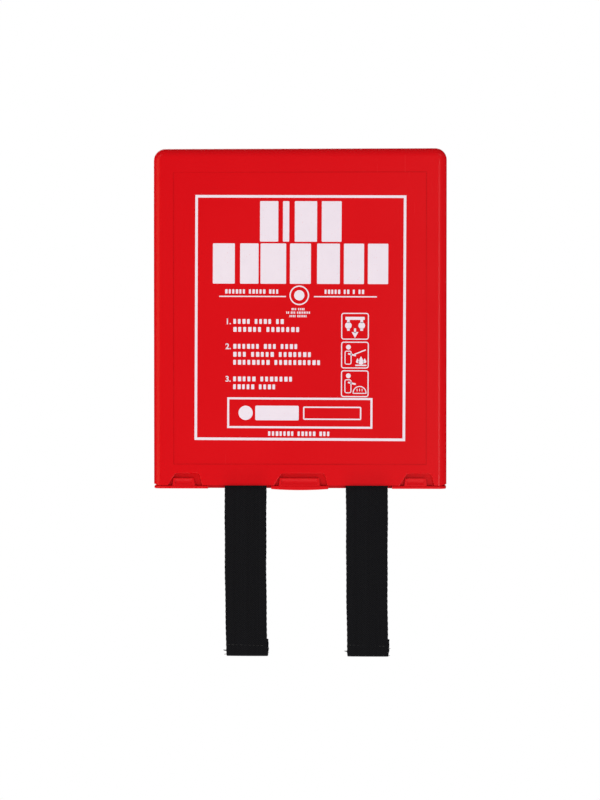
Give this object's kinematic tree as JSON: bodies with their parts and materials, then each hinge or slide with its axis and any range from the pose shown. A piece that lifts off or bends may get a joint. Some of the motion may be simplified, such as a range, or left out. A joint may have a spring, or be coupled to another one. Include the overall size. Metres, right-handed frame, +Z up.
{
  "type": "fire blanket",
  "caption": "Wall-hung moulded case holding a folded glass-cloth blanket, with a hinged floor and two webbing pull tabs hanging below.",
  "frame": {"origin": "on the back face, midway between the two keyhole heads", "axes": "+Z up, +X to the right as seen from the front, +Y into the wall, so the front faces -Y"},
  "size_m": [0.175, 0.038, 0.3036],
  "materials": {
    "red_plastic": "gloss",
    "white_ink": "satin",
    "steel_wire": "satin",
    "glass_cloth": "matte",
    "black_webbing": "matte",
    "black_thread": "matte"
  },
  "bodies": {
    "case": {"front_cover": "red_plastic", "front_print": "white_ink", "back_plate": "red_plastic", "hinge_pin": "steel_wire"},
    "flap": {"bottom_flap": "red_plastic"},
    "pack": {"blanket": "glass_cloth", "left_tab_root": "black_webbing", "left_tab_box_stitch": "black_thread", "right_tab_root": "black_webbing", "right_tab_box_stitch": "black_thread"},
    "tab_left": {"left_tab": "black_webbing", "left_tab_hem_stitch": "black_thread"},
    "tab_right": {"right_tab": "black_webbing", "right_tab_hem_stitch": "black_thread"}
  },
  "joints": [
    {"name": "blanket_pull", "type": "slide", "parent": "case", "child": "pack", "axis": [0, 0, -1], "range_m": [0, 0.045]},
    {"name": "flap_hinge", "type": "hinge", "parent": "case", "child": "flap", "pos_m": [0, -0.0035, -0.16], "axis": [1, 0, 0], "range_deg": [0, 90]},
    {"name": "left_tab_swing", "type": "hinge", "parent": "pack", "child": "tab_left", "pos_m": [-0.0326, -0.0345, -0.162], "axis": [-1, 0, 0], "range_deg": [0, 80]},
    {"name": "right_tab_swing", "type": "hinge", "parent": "pack", "child": "tab_right", "pos_m": [0.04, -0.0345, -0.162], "axis": [-1, 0, 0], "range_deg": [0, 80]}
  ],
  "couplings": [
    {"joint": "flap_hinge", "follows": "blanket_pull", "rad_per_m": 34.897}
  ]
}
